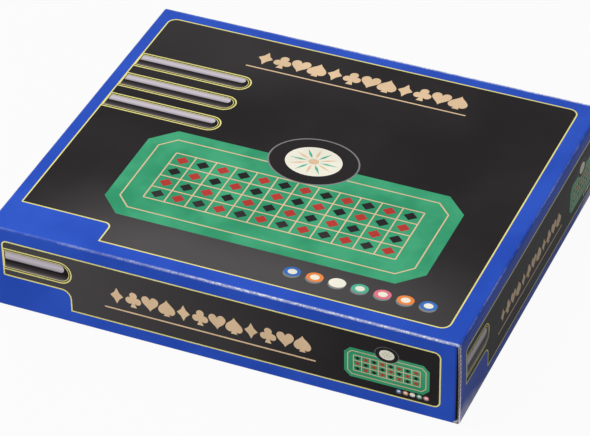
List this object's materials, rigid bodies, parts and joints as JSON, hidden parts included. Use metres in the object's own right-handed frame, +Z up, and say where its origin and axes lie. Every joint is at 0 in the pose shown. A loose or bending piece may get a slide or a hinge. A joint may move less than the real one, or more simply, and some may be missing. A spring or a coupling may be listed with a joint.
{
  "type": "roulette set case",
  "caption": "Boxed roulette game: folded-board tray and lift-off printed lid over a formed insert with a spinning wheel, rake, balls, stacked chips, folded cloth and leaflet.",
  "frame": {"origin": "on the table, under the middle of the closed case", "axes": "+X to the right end as the front is seen, +Y to the back, +Z up; the printed front faces -Y"},
  "size_m": [0.3206, 0.266, 0.063],
  "materials": {
    "board_tray": "white-lined corrugated board",
    "board_print": "corrugated board with glossy printed paper",
    "black_formed": "thin formed sheet",
    "green_felt": "felt",
    "leaflet_paper": "folded sheet",
    "black_gloss": "moulded",
    "steel": "plain",
    "brass": "plain",
    "ring_paper": "printed ring",
    "gold_plastic": "metallised",
    "ball_white": "polished",
    "stick_wood": "varnished",
    "chip_blue": "moulded",
    "chip_orange": "moulded",
    "chip_white": "moulded",
    "chip_green": "moulded",
    "chip_pink": "moulded"
  },
  "bodies": {
    "tray_body": {"tray": "board_tray", "playing_cloth": "green_felt", "rules_leaflet": "leaflet_paper"},
    "insert_body": {"insert": "black_formed", "balls": "ball_white", "rake_stick": "stick_wood", "rake_grip": "black_gloss", "rake_blade": "black_gloss", "chips_blue": "chip_blue", "chips_orange": "chip_orange", "chips_white": "chip_white", "chips_green": "chip_green", "chips_pink": "chip_pink"},
    "bowl_body": {"wheel_bowl": "black_gloss", "spindle_pin": "steel", "thrust_washer": "brass"},
    "rotor_body": {"rotor": "black_gloss", "number_ring": "ring_paper", "turret_post": "gold_plastic", "turret_cross": "gold_plastic", "turret_nut": "gold_plastic"},
    "lid_body": {"lid": "board_print"}
  },
  "joints": [
    {"name": "insert_lift", "type": "slide", "parent": "tray_body", "child": "insert_body", "axis": [0, 0, 1], "range_m": [0, 0.08]},
    {"name": "wheel_lift", "type": "slide", "parent": "insert_body", "child": "bowl_body", "axis": [0, 0, 1], "range_m": [0, 0.06]},
    {"name": "rotor_spin", "type": "hinge", "parent": "bowl_body", "child": "rotor_body", "pos_m": [-0.0188, 0, 0.02], "axis": [0, 0, 1], "continuous": true},
    {"name": "lid_lift", "type": "slide", "parent": "bowl_body", "child": "lid_body", "axis": [0, 0, 1], "range_m": [0, 0.15]}
  ]
}
